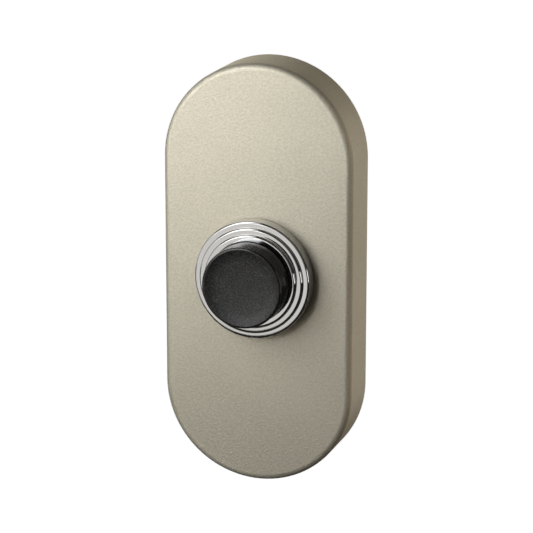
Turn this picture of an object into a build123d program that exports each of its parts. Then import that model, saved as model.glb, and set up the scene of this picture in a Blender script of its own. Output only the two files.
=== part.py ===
from build123d import *
import math
import os

# Oval surface-mounted doorbell button: a cover plate on a back plate, with a push insert through it.
# Millimetres. Every piece is drawn lying on its back, with the wall at Z = 0 and the front upwards,
# centred on the button's axis. It is stood up when it is saved: the front then faces -Y and the
# plate's upper end is +Z.

# Cover plate
plate_width = 32.0
plate_height = 70.0
plate_depth = 9.0             # wall to front face
plate_edge_radius = 1.0       # round along the front edge
plate_side_wall = 2.0
plate_front_wall = 3.0
plate_pocket_radius = 0.8     # round in the pocket's corner
plate_hole_clearance = 0.15   # barrel to plate, on the radius

# Push button
button_diameter = 13.4
button_proud = 7.8            # rim above the plate's front face, at rest
button_travel = 2.0
button_rim_radius = 0.3
button_rim_land = 0.1         # flat between the rim's round and the dish
dish_depth = 0.9
button_crown = 1.9            # least thickness under the dish
button_skirt_wall = 1.1
button_slide_clearance = 0.1  # button to bezel, on the radius
collar_overlap = 0.45         # how far the collar reaches behind the bezel's lip
collar_edge_break = 0.2
pin_diameter = 2.0            # stem's end, which carries the contact bridge
pin_end = 0.4                 # pin beyond its clip
stem_shoulder = 0.8           # stem beyond its pin, on the radius

# Stepped bezel, one piece with its barrel
bezel_steps = 3
bezel_first_step = 2.65       # top of the lowest step above the plate
bezel_step_rise = 0.57
bezel_shoulder_radius = 0.42
bezel_mouth_radius = 0.08
bezel_overhang = 1.3          # flange beyond the barrel, on the radius
barrel_wall = 0.9
base_ledge = 0.35             # ledge that the contact base seats on
crimp_wall = 0.7
crimp_reach = 0.6             # how far the barrel's end is rolled in over the base

# Contact base and contacts
chamber_depth = 8.4           # bezel lip to the face of the base
base_thickness = 5.0
base_clearance = 0.05         # base to barrel, on the radius
spring_pad_height = 0.6
spring_pad_margin = 0.3       # contact tip to the pad's edge
pin_recess_clearance = 0.3    # pin to its recess in the pad, on the radius
contact_tip_diameter = 2.0
contact_height = 1.4          # contact tip above the base
contact_tip_break = 0.2
post_wall = 0.65              # brass around the terminal screw
post_cap = 0.8                # brass between the screw's bore and the tip's shoulder
insert_clearance = 0.02       # brass to moulding, on the radius
rib_width = 0.8               # rib between the two terminals
rib_height = 2.2
rib_clearance = 0.3           # rib to the terminal washers

# Contact bridge, clip and spring
bridge_margin = 0.1           # bridge beyond the contact tips
bridge_thickness = 0.6
clip_width = 0.7              # clip beyond its pin, on the radius
clip_thickness = 0.5
clip_prongs = 3
clip_slot = 0.5
pin_clearance = 0.05          # bridge and clip to pin, on the radius
spring_wire = 0.6
spring_active_half_turns = 6
spring_end_gap = 0.05         # between each closed end turn and the next
spring_clearance = 0.2        # spring to the button's skirt, on the radius

# Terminals
terminal_screw_diameter = 2.5
terminal_head_overhang = 1.0  # head beyond the shank, on the radius
terminal_head_height = 1.6
terminal_head_round = 0.3
terminal_grip = 3.2           # screw under the washer
terminal_slot_width = 0.7
terminal_slot_depth = 0.8
terminal_washer_rim = 0.35    # washer beyond the head, on the radius
terminal_washer_thickness = 0.4
washer_clearance = 0.15       # washer to screw, on the radius
thread_clearance = 0.05       # between the crests of mating threads, on the radius

# Nut and lock washer
nut_wall = 1.1                # barrel to the nut's flats
nut_thickness = 2.0
nut_chamfer = 0.5
lock_washer_thickness = 0.6
lock_washer_width = 1.3
lock_washer_teeth = 14
lock_washer_notch = 0.5
lock_washer_notch_width = 0.9

# Back plate
back_thickness = 2.0
back_clearance = 0.2          # back plate to the cover's pocket
back_opening_clearance = 1.2  # barrel to the back plate's opening, on the radius
back_recess = 0.7             # coring on the wall side
back_rim_wall = 1.6           # wall left around the coring
back_boss_wall = 2.2          # wall left around the screw holes
fixing_end_distance = 10.0    # cover's end to the wall screw
fixing_hole_diameter = 4.2
fixing_hole_land = 0.3        # straight wall under the 90 degree countersink
lug_width = 7.0
lug_thickness = 2.2
lug_setback = 1.3             # pocket's end to the lug
lug_headroom = 0.6            # lugs to the pocket's floor
tongue_width = 6.0
tongue_thickness = 1.2
tongue_height = 3.6           # middle of the tongue above the wall
tongue_reach = 0.8            # tongue into the cover's end wall
tongue_clearance = 0.15

# Set screw in the cover's lower edge
set_screw_diameter = 3.0
set_screw_height = 2.8        # its axis above the wall
set_screw_sink = 0.3          # outer end below the cover's edge
set_screw_gap = 0.1           # thread's end to the lug
dog_diameter = 2.0
dog_length = 1.8
dog_clearance = 0.1
socket_across_flats = 1.5
socket_depth = 1.4

# Worked out from the sizes above: radii of the insert, from the button outwards
button_radius = button_diameter / 2
mouth_radius = button_radius + button_slide_clearance
collar_radius = button_radius + collar_overlap
chamber_radius = collar_radius + button_slide_clearance
seat_radius = chamber_radius + base_ledge
barrel_radius = seat_radius + barrel_wall
bezel_radius = barrel_radius + bezel_overhang
bezel_step_run = (bezel_radius - mouth_radius) / bezel_steps
skirt_inner_radius = button_radius - button_skirt_wall
spring_radius = skirt_inner_radius - spring_clearance - spring_wire / 2
spring_pad_radius = spring_radius - spring_wire / 2 - spring_clearance
base_radius = seat_radius - base_clearance
contact_tip_radius = contact_tip_diameter / 2
contact_offset = spring_pad_radius - spring_pad_margin - contact_tip_radius
bridge_radius = contact_offset + contact_tip_radius + bridge_margin
pin_radius = pin_diameter / 2
stem_radius = pin_radius + stem_shoulder
terminal_shank_radius = terminal_screw_diameter / 2
terminal_head_radius = terminal_shank_radius + terminal_head_overhang
terminal_washer_radius = terminal_head_radius + terminal_washer_rim
terminal_offset = rib_width / 2 + rib_clearance + terminal_washer_radius
terminal_bore_radius = terminal_shank_radius + thread_clearance
post_radius = terminal_bore_radius + post_wall

# Heights above the wall
pocket_floor = plate_depth - plate_front_wall
button_rim = plate_depth + button_proud
button_roof = button_rim - dish_depth - button_crown
base_front = plate_depth - chamber_depth
base_back = base_front - base_thickness
contact_tip = base_front + contact_height
bridge_back = contact_tip + button_travel
bridge_front = bridge_back + bridge_thickness
pin_tip = bridge_back - clip_thickness - pin_end
skirt_end = base_front + button_travel
post_shoulder = base_back + terminal_grip + post_cap
washer_back = base_back - terminal_washer_thickness
nut_front = pocket_floor - lock_washer_thickness
lug_top = pocket_floor - lug_headroom

# Sizes across the plate
back_width = plate_width - 2 * (plate_side_wall + back_clearance)
back_height = plate_height - 2 * (plate_side_wall + back_clearance)
fixing_offset = plate_height / 2 - fixing_end_distance
pocket_end = plate_height / 2 - plate_side_wall
set_screw_outer = plate_height / 2 - set_screw_sink
lug_outer = pocket_end - lug_setback


def turned(*corners):
    # Solid of revolution from a closed outline of (radius, height) or (radius, height, round) corners.
    points = [corner[:2] for corner in corners]
    rounds = [corner[2] if len(corner) > 2 else 0 for corner in corners]
    outline = FilletPolyline(*points, radius=rounds, close=True)
    return revolve(Plane.XZ * make_face(outline), Axis.Z)


def standing(radius, low, high):
    # Round bar along the button's axis between two heights.
    return Pos(0, 0, low) * Cylinder(radius, high - low, align=(Align.CENTER, Align.CENTER, Align.MIN))


def oval(width, height, low, high):
    # Upright plate with half-round ends.
    return Pos(0, 0, low) * extrude(SlotOverall(height, width, rotation=90), high - low)


def block(width, lower, upper, low, high):
    # Box centred across the plate, from lower to upper along it and from low to high off the wall.
    centre = Pos(0, (lower + upper) / 2, (low + high) / 2)
    return centre * Box(width, upper - lower, high - low)


def lengthwise(radius, start, end, height):
    # Round bar along the plate's length, at a height above the wall.
    bar = Cylinder(radius, end - start, align=(Align.CENTER, Align.CENTER, Align.MIN))
    return Pos(0, start, height) * Rot(-90, 0, 0) * bar


def pair(offset, shape):
    # The same shape to the left and to the right of the button's axis.
    return [Pos(side * offset, 0, 0) * shape for side in (-1, 1)]


def both_fixings(shape):
    # The same shape at the lower and the upper wall screw.
    return [Pos(0, side * fixing_offset, 0) * shape for side in (-1, 1)]


def make_cover_plate():
    cover = oval(plate_width, plate_height, 0, plate_depth)
    front_edges = cover.faces().sort_by(Axis.Z)[-1].edges()
    cover = fillet(front_edges, plate_edge_radius)

    pocket_width = plate_width - 2 * plate_side_wall
    pocket = oval(pocket_width, 2 * pocket_end, 0, pocket_floor)
    pocket = fillet(pocket.faces().sort_by(Axis.Z)[-1].edges(), plate_pocket_radius)
    cover -= pocket
    cover -= standing(barrel_radius + plate_hole_clearance, 0, plate_depth)

    half_slot = tongue_thickness / 2 + tongue_clearance
    slot_width = tongue_width + 2 * tongue_clearance
    slot_end = pocket_end + tongue_reach + tongue_clearance
    cover -= block(slot_width, 0, slot_end, tongue_height - half_slot, tongue_height + half_slot)

    screw_hole = set_screw_diameter / 2 + thread_clearance
    cover -= lengthwise(screw_hole, -plate_height / 2, -lug_outer, set_screw_height)
    return cover


def make_bezel_bush():
    top = plate_depth + bezel_first_step + (bezel_steps - 1) * bezel_step_rise
    corners = [(mouth_radius, top, bezel_mouth_radius)]
    for step in reversed(range(bezel_steps)):
        step_radius = bezel_radius - step * bezel_step_run
        step_top = plate_depth + bezel_first_step + step * bezel_step_rise
        step_foot = step_top - bezel_step_rise if step else plate_depth
        corners.append((step_radius, step_top, bezel_shoulder_radius))
        corners.append((step_radius, step_foot))
    crimp_start = base_back + crimp_reach
    crimp_offset = crimp_wall * math.sqrt(0.5)
    corners += [
        (barrel_radius, plate_depth),
        (barrel_radius, crimp_start),
        (seat_radius + crimp_offset, crimp_start - crimp_offset),
        (seat_radius - crimp_reach + crimp_offset, base_back - crimp_offset),
        (seat_radius - crimp_reach, base_back),
        (seat_radius, crimp_start),
        (seat_radius, base_front),
        (chamber_radius, base_front),
        (chamber_radius, plate_depth),
        (mouth_radius, plate_depth),
    ]
    return turned(*corners)


def make_push_button():
    button = turned(
        (0, button_rim),
        (button_radius, button_rim, button_rim_radius),
        (button_radius, plate_depth),
        (collar_radius, plate_depth, collar_edge_break),
        (collar_radius, skirt_end, collar_edge_break),
        (skirt_inner_radius, skirt_end),
        (skirt_inner_radius, button_roof),
        (stem_radius, button_roof),
        (stem_radius, bridge_front),
        (pin_radius, bridge_front),
        (pin_radius, pin_tip),
        (0, pin_tip),
    )
    dish_radius = button_radius - button_rim_radius - button_rim_land
    ball_radius = (dish_radius**2 + dish_depth**2) / (2 * dish_depth)
    return button - Pos(0, 0, button_rim - dish_depth + ball_radius) * Sphere(ball_radius)


def make_contact_bridge():
    hole = standing(pin_radius + pin_clearance, bridge_back, bridge_front)
    return standing(bridge_radius, bridge_back, bridge_front) - hole


def make_bridge_clip():
    low = bridge_back - clip_thickness
    hole = pin_radius + pin_clearance
    clip = standing(pin_radius + clip_width, low, bridge_back) - standing(hole, low, bridge_back)
    slot_end = pin_radius + clip_width / 2
    slot = block(clip_slot, 0, slot_end, low, bridge_back)
    return clip - [Rot(0, 0, turn * 360 / clip_prongs) * slot for turn in range(clip_prongs)]


def make_return_spring():
    # Each half turn is a half ring that leans by its own rise, so that the turns join without a kink.
    # The end turns are closed, and ground flat on the base and on the button's roof.
    wire_radius = spring_wire / 2
    level = base_front + wire_radius / 2
    end_rise = spring_wire + spring_end_gap
    active_rise = button_roof - base_front - wire_radius - 2 * end_rise
    active_rises = [active_rise / spring_active_half_turns] * spring_active_half_turns
    coil = Part()
    for count, rise in enumerate([0, end_rise, *active_rises, end_rise, 0]):
        lean = math.degrees(math.atan2(rise / 2, spring_radius))
        half_ring = Torus(math.hypot(spring_radius, rise / 2), wire_radius, major_angle=180, align=None)
        coil += Pos(0, 0, level + rise / 2) * Rot(0, 0, 180 * count) * Rot(0, lean, 0) * half_ring
        level += rise
    return coil & standing(spring_radius + spring_wire, base_front, button_roof)


def make_contact_base():
    pad_top = base_front + spring_pad_height
    recess_radius = pin_radius + pin_recess_clearance
    base = turned(
        (0, base_front),
        (recess_radius, base_front),
        (recess_radius, pad_top),
        (spring_pad_radius, pad_top),
        (spring_pad_radius, base_front),
        (base_radius, base_front),
        (base_radius, base_back + crimp_reach),
        (base_radius - crimp_reach, base_back),
        (0, base_back),
    )
    rib_length = 2 * (base_radius - crimp_reach - crimp_wall)
    base += block(rib_width, -rib_length / 2, rib_length / 2, base_back - rib_height, base_back)
    post_hole = standing(post_radius + insert_clearance, base_back, post_shoulder)
    tip_hole = standing(contact_tip_radius + insert_clearance, post_shoulder, pad_top)
    return base - pair(terminal_offset, post_hole) - pair(contact_offset, tip_hole)


def make_contact_posts():
    # The tip stands where the bridge meets it, and the post where the terminal has its room.
    bore_end = post_shoulder - post_cap
    post = turned(
        (0, bore_end),
        (terminal_bore_radius, bore_end),
        (terminal_bore_radius, base_back),
        (post_radius, base_back),
        (post_radius, post_shoulder),
        (0, post_shoulder),
    )
    tip = turned(
        (0, post_shoulder),
        (contact_tip_radius, post_shoulder),
        (contact_tip_radius, contact_tip, contact_tip_break),
        (0, contact_tip),
    )
    return [body + end for body, end in zip(pair(terminal_offset, post), pair(contact_offset, tip))]


def make_terminal_washer():
    hole = standing(terminal_shank_radius + washer_clearance, washer_back, base_back)
    return standing(terminal_washer_radius, washer_back, base_back) - hole


def make_terminal_screw():
    head_back = washer_back - terminal_head_height
    screw_end = base_back + terminal_grip - thread_clearance
    screw = turned(
        (0, head_back),
        (terminal_head_radius, head_back, terminal_head_round),
        (terminal_head_radius, washer_back),
        (terminal_shank_radius, washer_back),
        (terminal_shank_radius, screw_end),
        (0, screw_end),
    )
    slot_floor = head_back + terminal_slot_depth
    across = terminal_head_radius
    return screw - block(terminal_slot_width, -across, across, head_back, slot_floor)


def make_lock_washer():
    inner = barrel_radius + thread_clearance
    outer = inner + lock_washer_width
    ring = standing(outer, nut_front, pocket_floor) - standing(inner, nut_front, pocket_floor)
    notch = block(lock_washer_notch_width, outer - lock_washer_notch, outer, nut_front, pocket_floor)
    return ring - [Rot(0, 0, tooth * 360 / lock_washer_teeth) * notch for tooth in range(lock_washer_teeth)]


def make_mounting_nut():
    back = nut_front - nut_thickness
    flat_radius = barrel_radius + nut_wall
    corner_radius = flat_radius / math.cos(math.pi / 6)
    hexagon = extrude(RegularPolygon(flat_radius, 6, major_radius=False), nut_thickness)
    turned_ends = turned(
        (barrel_radius + thread_clearance, back),
        (corner_radius - nut_chamfer, back),
        (corner_radius, back + nut_chamfer),
        (corner_radius, nut_front - nut_chamfer),
        (corner_radius - nut_chamfer, nut_front),
        (barrel_radius + thread_clearance, nut_front),
    )
    return Pos(0, 0, back) * hexagon & turned_ends


def make_back_plate():
    opening_radius = barrel_radius + back_opening_clearance
    hole_radius = fixing_hole_diameter / 2
    plate = oval(back_width, back_height, 0, back_thickness)
    plate -= standing(opening_radius, 0, back_thickness)

    coring = oval(back_width - 2 * back_rim_wall, back_height - 2 * back_rim_wall, 0, back_recess)
    coring -= standing(opening_radius + back_rim_wall, 0, back_recess)
    coring -= both_fixings(standing(hole_radius + back_boss_wall, 0, back_recess))
    plate -= coring

    lug = block(lug_width, lug_outer - lug_thickness, lug_outer, back_recess, lug_top)
    tongue = block(
        tongue_width, lug_outer - lug_thickness, pocket_end + tongue_reach,
        tongue_height - tongue_thickness / 2, tongue_height + tongue_thickness / 2,
    )
    plate += lug + tongue
    plate += Rot(0, 0, 180) * lug
    dog_hole = dog_diameter / 2 + dog_clearance
    plate -= lengthwise(dog_hole, -lug_outer, -lug_outer + lug_thickness, set_screw_height)
    screw_notch = set_screw_diameter / 2 + dog_clearance
    plate -= lengthwise(screw_notch, -plate_height / 2, -lug_outer, set_screw_height)

    head_radius = hole_radius + back_thickness - fixing_hole_land
    fixing = turned(
        (0, 0),
        (hole_radius, 0),
        (hole_radius, fixing_hole_land),
        (head_radius, back_thickness),
        (0, back_thickness),
    )
    return plate - both_fixings(fixing)


def make_cover_set_screw():
    thread_end = -lug_outer - set_screw_gap
    screw = lengthwise(set_screw_diameter / 2, -set_screw_outer, thread_end, set_screw_height)
    screw += lengthwise(dog_diameter / 2, thread_end, thread_end + dog_length, set_screw_height)
    socket = extrude(RegularPolygon(socket_across_flats / 2, 6, major_radius=False), socket_depth)
    return screw - Pos(0, -set_screw_outer, set_screw_height) * Rot(-90, 0, 0) * socket


def save(name, *shapes):
    upright = [Rot(90, 0, 0) * shape for shape in shapes]
    export_step(upright[0] if len(upright) == 1 else Compound(children=upright), f"parts/{name}.step")


os.makedirs("parts", exist_ok=True)
post_left, post_right = make_contact_posts()
save("cover_plate", make_cover_plate())
save("bezel_bush", make_bezel_bush())
save("push_button", make_push_button())
save("contact_bridge", make_contact_bridge())
save("bridge_clip", make_bridge_clip())
save("return_spring", make_return_spring())
save("contact_base", make_contact_base())
save("contact_post_left", post_left)
save("contact_post_right", post_right)
save("terminal_washers", *pair(terminal_offset, make_terminal_washer()))
save("terminal_screws", *pair(terminal_offset, make_terminal_screw()))
save("lock_washer", make_lock_washer())
save("mounting_nut", make_mounting_nut())
save("back_plate", make_back_plate())
save("cover_set_screw", make_cover_set_screw())
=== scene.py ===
import bmesh
import bpy
import math
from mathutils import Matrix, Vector


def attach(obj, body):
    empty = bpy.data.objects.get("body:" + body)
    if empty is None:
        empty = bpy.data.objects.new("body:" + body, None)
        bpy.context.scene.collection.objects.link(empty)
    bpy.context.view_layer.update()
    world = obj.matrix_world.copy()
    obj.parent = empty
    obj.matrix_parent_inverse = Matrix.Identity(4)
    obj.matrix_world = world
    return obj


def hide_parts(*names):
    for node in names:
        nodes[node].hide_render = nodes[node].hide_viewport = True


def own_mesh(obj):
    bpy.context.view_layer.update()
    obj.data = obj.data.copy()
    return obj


# Doorbell button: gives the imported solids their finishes, and draws anew the bezel with its thread,
# the button with an even dish and the return spring as a true coil.
# The wall is y = 0, the front looks to -y, up is +z and the button's axis is the y axis.
# Sizes of pieces and finishes are in millimetres, the studio's in metres.

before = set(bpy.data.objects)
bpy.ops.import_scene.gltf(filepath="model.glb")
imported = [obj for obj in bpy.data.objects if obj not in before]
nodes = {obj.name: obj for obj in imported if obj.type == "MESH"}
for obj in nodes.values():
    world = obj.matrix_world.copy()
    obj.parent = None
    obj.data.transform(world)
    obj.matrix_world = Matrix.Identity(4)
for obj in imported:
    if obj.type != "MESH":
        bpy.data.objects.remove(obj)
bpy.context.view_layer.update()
mm = 0.001
print("loaded", len(nodes), "pieces")


# Short names for the shader nodes.

def setInput(tree, socket, value):
    # a link from another node, or a constant on the socket itself
    if isinstance(value, bpy.types.NodeSocket):
        tree.links.new(value, socket)
    else:
        socket.default_value = value


def addNode(tree, kind, inputs=None, **settings):
    made = tree.nodes.new(kind)
    for name, value in settings.items():
        setattr(made, name, value)
    for name, value in (inputs or {}).items():
        setInput(tree, made.inputs[name], value)
    return made


def setSurface(tree, **values):
    surface = tree.nodes["Principled BSDF"]
    for name, value in values.items():
        setInput(tree, surface.inputs[name.replace("_", " ")], value)


def newFinish(name, **constants):
    finish = bpy.data.materials.new(name)
    finish.use_nodes = True
    setSurface(finish.node_tree, **constants)
    return finish, finish.node_tree


def inMm(tree, stretch=(1, 1, 1), turn=(0, 0, 0)):
    # object coordinates in millimetres, turned in degrees and then stretched for a grain
    coords = addNode(tree, "ShaderNodeTexCoord").outputs["Object"]
    angles = [math.radians(angle) for angle in turn]
    turned = addNode(tree, "ShaderNodeMapping", {"Vector": coords, "Rotation": angles}).outputs[0]
    scale = [part / mm for part in stretch]
    return addNode(tree, "ShaderNodeMapping", {"Vector": turned, "Scale": scale}).outputs[0]


def noise(tree, vector, perMm, detail=3.0, roughness=0.5):
    inputs = {"Vector": vector, "Scale": perMm, "Detail": detail, "Roughness": roughness}
    return addNode(tree, "ShaderNodeTexNoise", inputs).outputs["Fac"]


def spread(tree, value, low, high, fromLow=0.3, fromHigh=0.7):
    # a value carried over to another range; a noise lies mostly between 0.3 and 0.7
    inputs = {"Value": value, "From Min": fromLow, "From Max": fromHigh, "To Min": low, "To Max": high}
    return addNode(tree, "ShaderNodeMapRange", inputs).outputs[0]


def mixColour(tree, factor, first, second):
    # 0, 6 and 7 are the sockets of the colour mix
    return addNode(tree, "ShaderNodeMix", {0: factor, 6: first, 7: second}, data_type="RGBA").outputs[2]


def calc(tree, operation, first, second):
    return addNode(tree, "ShaderNodeMath", {0: first, 1: second}, operation=operation).outputs[0]


def bump(tree, height, depth):
    inputs = {"Height": height, "Distance": depth * mm, "Strength": 1.0}
    return addNode(tree, "ShaderNodeBump", inputs).outputs[0]


def radius(tree):
    # distance from the button's axis, in millimetres
    flat = addNode(tree, "ShaderNodeVectorMath", {0: inMm(tree), 1: (1, 0, 1)}, operation="MULTIPLY")
    return addNode(tree, "ShaderNodeVectorMath", {0: flat.outputs[0]}, operation="LENGTH").outputs["Value"]


# Finishes: each has its values beside the code that makes it.

satinPlate = dict(
    colour=(0.56, 0.504, 0.394, 1), shade=(0.43, 0.387, 0.303, 1), metallic=0.6, roughness=(0.54, 0.62),
    grainSize=0.28, grainTurn=34, grainStretch=0.60, grainDepth=0.034, grainTone=0.66,
    specksInGrain=2.2, speckShare=0.3, cloudsPerMm=0.06, cloudTone=0.3,
)


def makeSatinPlate(s):
    finish, tree = newFinish("satinPlate", Metallic=s["metallic"])
    # fine wrinkles that run slantwise, with specks on them, and slow clouds of tone
    along = inMm(tree, (s["grainStretch"], 1, 1), (0, s["grainTurn"], 0))
    wrinkle = noise(tree, along, 1 / s["grainSize"], detail=1.0)
    speck = noise(tree, inMm(tree), s["specksInGrain"] / s["grainSize"], detail=1.0)
    cloud = noise(tree, inMm(tree), s["cloudsPerMm"], detail=2.0)
    height = calc(tree, "ADD", wrinkle, calc(tree, "MULTIPLY", speck, s["speckShare"]))
    grainTone = spread(tree, wrinkle, 0.0, s["grainTone"])
    tone = calc(tree, "ADD", grainTone, spread(tree, cloud, 0.0, s["cloudTone"]))
    setSurface(tree, Base_Color=mixColour(tree, tone, s["colour"], s["shade"]),
               Roughness=spread(tree, speck, *s["roughness"]), Normal=bump(tree, height, s["grainDepth"]))
    return finish


mirrorChrome = dict(
    colour=(0.59, 0.583, 0.577, 1), roughness=(0.05, 0.10), hazePerMm=0.35,
    wallFrom=(9.74, 9.79), wallHaze=0.28, linesPerMm=4.0, lineDepth=0.0004,
)


def makeMirrorChrome(s):
    finish, tree = newFinish("mirrorChrome", Metallic=1.0, Base_Color=s["colour"])
    # turned lines round the axis
    across = addNode(tree, "ShaderNodeCombineXYZ", {0: radius(tree)}).outputs[0]
    lines = noise(tree, across, s["linesPerMm"])
    haze = noise(tree, inMm(tree), s["hazePerMm"], detail=4.0)
    # the outer wall is less polished than the steps
    wall = spread(tree, radius(tree), 0.0, s["wallHaze"], *s["wallFrom"])
    setSurface(tree, Roughness=calc(tree, "ADD", spread(tree, haze, *s["roughness"]), wall),
               Normal=bump(tree, lines, s["lineDepth"]))
    return finish


grainedBlack = dict(
    colour=(0.004, 0.004, 0.004, 1), worn=(0.046, 0.045, 0.044, 1), wornFrom=(0.28, 0.80), wornOnSide=0.3,
    tint=(1.0, 0.985, 0.965, 1), sheen=0.46, ior=1.5,
    faceEdge=(6.20, 6.40), faceRoughness=0.52, sideRoughness=0.17,
    grainSize=0.24, grainDepth=0.02, grainFrom=(0.2, 0.7), grainRoughness=0.05,
)


def makeGrainedBlack(s):
    finish, tree = newFinish("grainedBlack", IOR=s["ior"], Specular_IOR_Level=s["sheen"],
                             Specular_Tint=s["tint"])
    pebbles = addNode(tree, "ShaderNodeTexVoronoi", {"Vector": inMm(tree), "Scale": 1 / s["grainSize"]})
    grain = pebbles.outputs["Distance"]
    # the dished face is grained, the rim and the sides are smooth
    face = spread(tree, radius(tree), 1.0, 0.0, *s["faceEdge"])
    rough = spread(tree, face, s["sideRoughness"], s["faceRoughness"], 0.0, 1.0)
    uneven = spread(tree, grain, -s["grainRoughness"], s["grainRoughness"], *s["grainFrom"])
    worn = spread(tree, grain, 0.0, 1.0, *s["wornFrom"])
    worn = calc(tree, "MULTIPLY", worn, spread(tree, face, s["wornOnSide"], 1.0, 0.0, 1.0))
    setSurface(tree, Base_Color=mixColour(tree, worn, s["colour"], s["worn"]),
               Roughness=calc(tree, "ADD", rough, uneven),
               Normal=bump(tree, calc(tree, "MULTIPLY", grain, face), s["grainDepth"]))
    return finish


metals = dict(
    # colour, tarnish, roughness
    springSteel=((0.46, 0.45, 0.44, 1), (0.33, 0.32, 0.30, 1), (0.22, 0.36)),
    contactBrass=((0.78, 0.56, 0.27, 1), (0.60, 0.40, 0.17, 1), (0.20, 0.36)),
    terminalNickel=((0.62, 0.59, 0.54, 1), (0.50, 0.47, 0.42, 1), (0.26, 0.42)),
    nutNickel=((0.62, 0.58, 0.50, 1), (0.50, 0.45, 0.37, 1), (0.24, 0.40)),
    blackenedSteel=((0.055, 0.053, 0.052, 1), (0.10, 0.095, 0.088, 1), (0.30, 0.48)),
)
metalWear = dict(
    spotsPerMm=1.2, marksPerMm=1.6, markStretch=(6, 1, 0.6), markTurn=(15, 20, 35), markDepth=0.0015,
)


def makeMetal(name, colour, tarnish, roughness, s):
    # worked metal: tarnish in soft patches, and fine scratches
    finish, tree = newFinish(name, Metallic=1.0)
    spots = noise(tree, inMm(tree), s["spotsPerMm"], detail=4.0, roughness=0.6)
    along = inMm(tree, s["markStretch"], s["markTurn"])
    marks = noise(tree, along, s["marksPerMm"], roughness=0.7)
    setSurface(tree, Base_Color=mixColour(tree, spread(tree, spots, 0.0, 1.0), colour, tarnish),
               Roughness=spread(tree, marks, *roughness), Normal=bump(tree, marks, s["markDepth"]))
    return finish


mouldings = dict(
    # colour, paler flow, roughness, grain size, grain depth
    baseMoulding=((0.030, 0.022, 0.018, 1), (0.040, 0.029, 0.023, 1), (0.22, 0.36), 0.5, 0.003),
    backMoulding=((0.045, 0.045, 0.046, 1), (0.060, 0.060, 0.061, 1), (0.46, 0.60), 0.3, 0.010),
)
mouldingFlow = dict(ior=1.48, flowsPerMm=0.12, flowStretch=(1, 1, 0.4))


def makeMoulding(name, colour, pale, roughness, grainSize, grainDepth, s):
    # moulded plastic: fine spark grain and a faint flow of tone
    finish, tree = newFinish(name, IOR=s["ior"])
    grain = noise(tree, inMm(tree), 1 / grainSize, roughness=0.6)
    flow = noise(tree, inMm(tree, s["flowStretch"]), s["flowsPerMm"])
    setSurface(tree, Base_Color=mixColour(tree, spread(tree, flow, 0.0, 1.0), colour, pale),
               Roughness=spread(tree, grain, *roughness), Normal=bump(tree, grain, grainDepth))
    return finish


finishes = dict(
    satinPlate=makeSatinPlate(satinPlate),
    mirrorChrome=makeMirrorChrome(mirrorChrome),
    grainedBlack=makeGrainedBlack(grainedBlack),
)
for name, values in metals.items():
    finishes[name] = makeMetal(name, *values, metalWear)
for name, values in mouldings.items():
    finishes[name] = makeMoulding(name, *values, mouldingFlow)

dressed = dict(
    satinPlate=("cover_plate",),
    contactBrass=("contact_bridge", "contact_post_left", "contact_post_right"),
    springSteel=("bridge_clip", "lock_washer"),
    terminalNickel=("terminal_screws", "terminal_washers"),
    nutNickel=("mounting_nut",),
    blackenedSteel=("cover_set_screw",),
    baseMoulding=("contact_base",),
    backMoulding=("back_plate",),
)
for finishName, pieceNames in dressed.items():
    for name in pieceNames:
        nodes[name].data.materials.clear()
        nodes[name].data.materials.append(finishes[finishName])
print("finishes made")


# Shared steps of the new pieces.

weldWithin = 1e-7  # metres
ringWithin = 1e-6
cutWithin = 1e-8


def ringEdges(bm, ringRadius, y):
    # edges of the turned ring at a radius and height
    def onRing(vert):
        return (abs(math.hypot(vert.co.x, vert.co.z) - ringRadius * mm) < ringWithin
                and abs(vert.co.y - y * mm) < ringWithin)
    return [edge for edge in bm.edges if all(onRing(vert) for vert in edge.verts)]


def closeMesh(bm):
    bmesh.ops.remove_doubles(bm, verts=bm.verts, dist=weldWithin)
    bmesh.ops.recalc_face_normals(bm, faces=bm.faces)


def turnSection(bm, s):
    # spins the drawn section round the axis, then rounds the edges that have a round
    bmesh.ops.spin(bm, geom=bm.verts[:] + bm.edges[:], cent=(0, 0, 0), axis=(0, 1, 0), angle=math.tau,
                   steps=s["steps"], use_merge=True)
    closeMesh(bm)
    for r, y, edgeRound in s["outline"]:
        if edgeRound:
            bmesh.ops.bevel(bm, geom=ringEdges(bm, r, y), offset=edgeRound * mm, offset_type="OFFSET",
                            segments=s["roundSegments"], profile=0.5, affect="EDGES", material=-1)


def drawLoop(bm, points):
    # a closed loop of (radius, y) points in the plane of the axis
    verts = [bm.verts.new((r * mm, y * mm, 0)) for r, y in points]
    edges = [bm.edges.new(pair) for pair in zip(verts, verts[1:] + verts[:1])]
    return verts + edges


def cutBeyond(bm, y, way):
    # takes away what lies beyond a height, up the axis for 1 or down it for -1
    whole = bm.verts[:] + bm.edges[:] + bm.faces[:]
    bmesh.ops.bisect_plane(bm, geom=whole, plane_co=(0, y * mm, 0), plane_no=(0, way, 0),
                           clear_outer=True, dist=cutWithin)


def fillEnds(bm):
    bmesh.ops.holes_fill(bm, edges=[edge for edge in bm.edges if edge.is_boundary], sides=0)


def shade(bm, sharpAngle):
    for face in bm.faces:
        face.smooth = True
    for edge in bm.edges:
        edge.smooth = len(edge.link_faces) == 2 and edge.calc_face_angle() < math.radians(sharpAngle)


def addPiece(name, bm, finish, body, slot, *replaced):
    mesh = bpy.data.meshes.new(name)
    bm.to_mesh(mesh)
    bm.free()
    mesh.materials.append(finish)
    piece = bpy.data.objects.new(name, mesh)
    bpy.context.scene.collection.objects.link(piece)
    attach(piece, body)
    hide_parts(*replaced)
    print(name, len(mesh.polygons), "faces")
    return piece


# The stepped bezel with the thread on its barrel.

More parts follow.
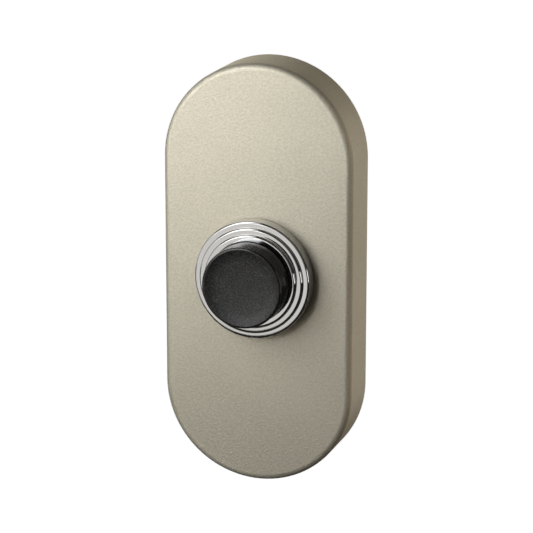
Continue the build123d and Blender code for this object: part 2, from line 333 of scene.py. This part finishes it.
bezel = dict(
    steps=160,
    # (radius, y, round) round the section, from the mouth outwards and back along the bore
    outline=(
        (6.75, -12.79, 0.08), (7.8, -12.79, 0.42), (7.8, -12.22, 0), (8.8, -12.22, 0.42), (8.8, -11.65, 0),
        (9.8, -11.65, 0.42), (9.8, -9.3, 0.06), (9.4, -9.3, 0), (9.4, -9.0, 0), (8.5, -9.0, 0),
        (8.5, -6.2, 0.1), (8.04, -6.0, 0), (8.04, 3.75, 0.25), (7.55, 4.85, 0.2), (7.0, 4.4, 0.1),
        (7.6, 3.8, 0), (7.6, -0.6, 0), (7.25, -0.6, 0), (7.25, -9.0, 0), (6.75, -9.0, 0.1),
    ),
    roundSegments=7, sharpAngle=32,
    pitch=0.75, foot=8.0, crest=8.5, crestWidth=0.1, footGap=0.04,
    threadFrom=-6.0, threadTo=3.2, stepsInTurn=96,
)


def makeBezel(s):
    bm = bmesh.new()
    drawLoop(bm, [(r, y) for r, y, edgeRound in s["outline"]])
    turnSection(bm, s)
    addThread(bm, s)
    shade(bm, s["sharpAngle"])
    return bm


def addThread(bm, s):
    # one V ridge wound along the barrel, its foot just inside the barrel's surface
    thread = bmesh.new()
    start = s["threadFrom"] - s["pitch"]
    footHalf = (s["pitch"] - s["footGap"]) / 2
    crestHalf = s["crestWidth"] / 2
    section = drawLoop(thread, (
        (s["foot"], start - footHalf), (s["crest"], start - crestHalf),
        (s["crest"], start + crestHalf), (s["foot"], start + footHalf),
    ))
    turns = math.ceil((s["threadTo"] - start) / s["pitch"]) + 1
    step = (0, s["pitch"] * mm / s["stepsInTurn"], 0)
    bmesh.ops.spin(thread, geom=section, cent=(0, 0, 0), axis=(0, 1, 0), dvec=step,
                   angle=math.tau * turns, steps=s["stepsInTurn"] * turns)
    # both ends are cut square to the axis, so the ridge runs out
    cutBeyond(thread, s["threadFrom"], -1)
    cutBeyond(thread, s["threadTo"], 1)
    bmesh.ops.remove_doubles(thread, verts=thread.verts, dist=weldWithin)
    fillEnds(thread)
    bmesh.ops.recalc_face_normals(thread, faces=thread.faces)
    ridge = bpy.data.meshes.new("ridge")
    thread.to_mesh(ridge)
    thread.free()
    bm.from_mesh(ridge)
    bpy.data.meshes.remove(ridge)


bezelPiece = addPiece("bezelThreaded", makeBezel(bezel), finishes["mirrorChrome"],
                      "housing", "bright_chrome", "bezel_bush")
bezelPiece.modifiers.new("evenShading", "WEIGHTED_NORMAL").keep_sharp = True


# The button, turned with an even dish.

button = dict(
    steps=160,
    # the dish, from the axis out: a nearly flat floor, then a curve up to the flat land of the rim,
    # each arc with its radius and the slopes in degrees that it starts and ends with
    dishFloor=-15.9, dishArcs=((40.0, 0.0, 6.3), (4.54, 6.3, 31.9)), dishRings=14,
    # (radius, y, round) from the rim down the side, up inside the skirt and down the stem
    outline=(
        (6.7, -16.8, 0.3), (6.7, -9.0, 0), (7.15, -9.0, 0.2), (7.15, -2.64, 0.2), (5.6, -2.64, 0),
        (5.6, -14.0, 0), (1.8, -14.0, 0), (1.8, -4.6, 0), (1.0, -4.6, 0), (1.0, -3.1, 0), (0, -3.1, 0),
    ),
    roundSegments=10, sharpAngle=14,
)


def makeButton(s):
    bm = bmesh.new()
    last = bm.verts.new((0, s["dishFloor"] * mm, 0))
    for arcRadius, slopeFrom, slopeTo in s["dishArcs"]:
        slope = math.radians(slopeFrom)
        centre = last.co + arcRadius * mm * Vector((-math.sin(slope), -math.cos(slope), 0))
        arc = bmesh.ops.spin(bm, geom=[last], cent=centre, axis=(0, 0, 1), steps=s["dishRings"],
                             angle=math.radians(slopeFrom - slopeTo))
        last = arc["geom_last"][0]
    for r, y, edgeRound in s["outline"]:
        nextVert = bm.verts.new((r * mm, y * mm, 0))
        bm.edges.new((last, nextVert))
        last = nextVert
    turnSection(bm, s)
    shade(bm, s["sharpAngle"])
    return bm


buttonPiece = addPiece("buttonTurned", makeButton(button), finishes["grainedBlack"],
                       "button", "button_black", "push_button")


# The return spring as a true coil.

spring = dict(
    radius=5.1, wire=0.6, low=-0.6, high=-14.0, travel=2.0,
    endGap=0.05, activeHalfTurns=6, stepsInHalfTurn=40, wireSides=14, sharpAngle=40,
)


def makeSpring(s):
    bm = bmesh.new()
    wireRadius = s["wire"] / 2
    level = s["low"] - wireRadius / 2
    section = bmesh.ops.create_circle(bm, radius=wireRadius * mm, segments=s["wireSides"])
    bmesh.ops.translate(bm, vec=(s["radius"] * mm, level * mm, 0), verts=section["verts"])
    endRise = s["wire"] + s["endGap"]
    activeRise = (s["low"] - s["high"] - wireRadius - 2 * endRise) / s["activeHalfTurns"]
    geom = bm.verts[:] + bm.edges[:]
    # closed end turns on both sides of the open ones
    for rise in [0, endRise] + [activeRise] * s["activeHalfTurns"] + [endRise, 0]:
        step = (0, -rise * mm / s["stepsInHalfTurn"], 0)
        geom = bmesh.ops.spin(bm, geom=geom, cent=(0, 0, 0), axis=(0, 1, 0), dvec=step, angle=math.pi,
                              steps=s["stepsInHalfTurn"])["geom_last"]
        geom = [part for part in geom if isinstance(part, (bmesh.types.BMVert, bmesh.types.BMEdge))]
    fillEnds(bm)
    # both ends are ground flat
    for y, way in ((s["low"], 1), (s["high"], -1)):
        cutBeyond(bm, y, way)
        fillEnds(bm)
    closeMesh(bm)
    shade(bm, s["sharpAngle"])
    return bm


springPiece = addPiece("returnCoil", makeSpring(spring), finishes["springSteel"],
                       "housing", "spring_steel", "return_spring")
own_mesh(springPiece)


# Floor, lights and camera.

studio = dict(
    floorHeight=-0.30, floorSize=6.0, surroundRadius=2.5, surroundSegments=(32, 16),
    backdrop=(0.02, 0.02, 0.02, 1), aim=(0, -0.009, 0),
    # panels: bearing from the front and height in degrees, distance, size, radiance, colour
    # the cover plate alone
    platePanels=dict(
        key=(-30, 24, 0.13, (0.086, 0.122), 6.75, (0.91, 0.958, 1.0)),
        behindRight=(145, -2, 0.60, (0.30, 0.50), 1.15, (1.0, 0.965, 0.92)),
        behind=(180, -2, 0.60, (0.30, 0.50), 1.8, (1.0, 0.95, 0.76)),
        behindLeft=(-155, 7, 0.60, (0.30, 0.50), 1.65, (1.0, 0.92, 0.74)),
    ),
    # the button alone
    buttonPanels=dict(
        buttonKey=(-30, 24, 0.13, (0.086, 0.122), 4.4, (0.96, 0.98, 1.0)),
        buttonLeft=(-95, 14, 0.45, (0.34, 0.30), 1.1, (1.0, 0.98, 0.95)),
    ),
    # all but the bezel
    satinPanels=dict(
        frontLow=(-30, -10, 0.22, (0.156, 0.094), 0.92, (1.0, 0.94, 0.84)),
        rightLow=(64, -11, 0.50, (0.15, 0.13), 1.5, (1.0, 0.96, 0.90)),
        right=(100, 5, 0.60, (0.30, 0.50), 1.5, (1.0, 0.88, 0.68)),
    ),
    # the bezel alone, whose steps mirror them
    bezelPanels=dict(
        bezelKey=(-37, 43, 0.50, (0.20, 0.43), 2.6, (1.0, 1.0, 1.0)),
        bezelBand=(-27, 13, 0.50, (0.28, 0.13), 1.7, (1.0, 1.0, 1.0)),
        bezelTop=(-7, 22, 0.50, (0.14, 0.10), 1.0, (1.0, 1.0, 1.0)),
        bezelFront=(-22, -1, 0.50, (0.53, 0.384), 0.92, (1.0, 0.985, 0.96)),
        bezelLeft=(-70, 9, 0.50, (0.36, 0.30), 0.85, (1.0, 0.985, 0.96)),
        bezelLeftLow=(-73, -22, 0.50, (0.40, 0.25), 0.25, (1.0, 0.985, 0.96)),
        bezelRight=(64, -4, 0.50, (0.17, 0.13), 2.6, (1.0, 0.99, 0.98)),
        bezelAir=(20, 25, 0.60, (0.60, 0.55), 0.17, (1.0, 0.97, 0.92)),
    ),
    # the bezel and all that lies behind the plate
    backPanels=dict(
        backKey=(-145, 38, 0.45, (0.30, 0.30), 4.5, (1.0, 0.99, 0.97)),
        backFill=(160, -12, 0.60, (0.40, 0.40), 1.1, (1.0, 0.98, 0.95)),
    ),
)


def makeSurround(s):
    floor = bmesh.new()
    bmesh.ops.create_grid(floor, x_segments=1, y_segments=1, size=s["floorSize"] / 2)
    bmesh.ops.translate(floor, vec=(0, 0, s["floorHeight"]), verts=floor.verts)
    surround = bmesh.new()
    around, upward = s["surroundSegments"]
    bmesh.ops.create_uvsphere(surround, u_segments=around, v_segments=upward, radius=s["surroundRadius"])
    paleFloor = newFinish("paleFloor", Emission_Color=(1, 1, 1, 1), Emission_Strength=1.0)[0]
    for name, bm in (("floor", floor), ("surround", surround)):
        mesh = bpy.data.meshes.new(name)
        bm.to_mesh(mesh)
        bm.free()
        mesh.materials.append(paleFloor)
        stage = bpy.data.objects.new(name, mesh)
        bpy.context.scene.collection.objects.link(stage)
        # white behind the object, and no light thrown on it
        stage.visible_diffuse = False
        stage.visible_glossy = False


def makePanels(s, group, lit):
    # each group lights its own pieces
    receivers = bpy.data.collections.new(group)
    for piece in lit:
        receivers.objects.link(piece)
    for name, (bearing, height, distance, size, radiance, colour) in s[group].items():
        light = bpy.data.lights.new(name, "AREA")
        light.shape = "RECTANGLE"
        light.size, light.size_y = size
        light.energy = radiance * math.pi * size[0] * size[1]
        light.color = colour
        aside, upward = math.radians(bearing), math.radians(height)
        level = math.cos(upward)
        out = Vector((math.sin(aside) * level, -math.cos(aside) * level, math.sin(upward)))
        panel = bpy.data.objects.new(name, light)
        panel.location = Vector(s["aim"]) + out * distance
        panel.rotation_euler = (-out).to_track_quat("-Z", "Y").to_euler()
        panel.visible_camera = False
        panel.light_linking.receiver_collection = receivers
        bpy.context.scene.collection.objects.link(panel)


makeSurround(studio)
plate = nodes["cover_plate"]
shownInFront = ("cover_plate", "push_button", "bezel_bush")
behindPlate = [nodes[name] for name in nodes if name not in shownInFront] + [springPiece]
makePanels(studio, "platePanels", [plate])
makePanels(studio, "buttonPanels", [buttonPiece])
makePanels(studio, "satinPanels", [plate, buttonPiece] + behindPlate)
makePanels(studio, "bezelPanels", [bezelPiece])
makePanels(studio, "backPanels", [bezelPiece] + behindPlate)
scene = bpy.context.scene
scene.world = bpy.data.worlds.new("studioAir")
scene.world.use_nodes = True
scene.world.node_tree.nodes["Background"].inputs["Color"].default_value = studio["backdrop"]
scene.view_settings.view_transform = "Standard"

view = dict(
    place=(0.128754, -0.390674, 0.109738), aim=(0.000361, -0.005, 0.000678),
    lens=173.56, sensor=36.0, nearest=0.01,
)
camera = bpy.data.objects.new("camera", bpy.data.cameras.new("camera"))
camera.data.lens = view["lens"]
camera.data.sensor_width = view["sensor"]
camera.data.clip_start = view["nearest"]
camera.location = view["place"]
camera.rotation_euler = (Vector(view["aim"]) - camera.location).to_track_quat("-Z", "Y").to_euler()
scene.collection.objects.link(camera)
scene.camera = camera
print("studio set")
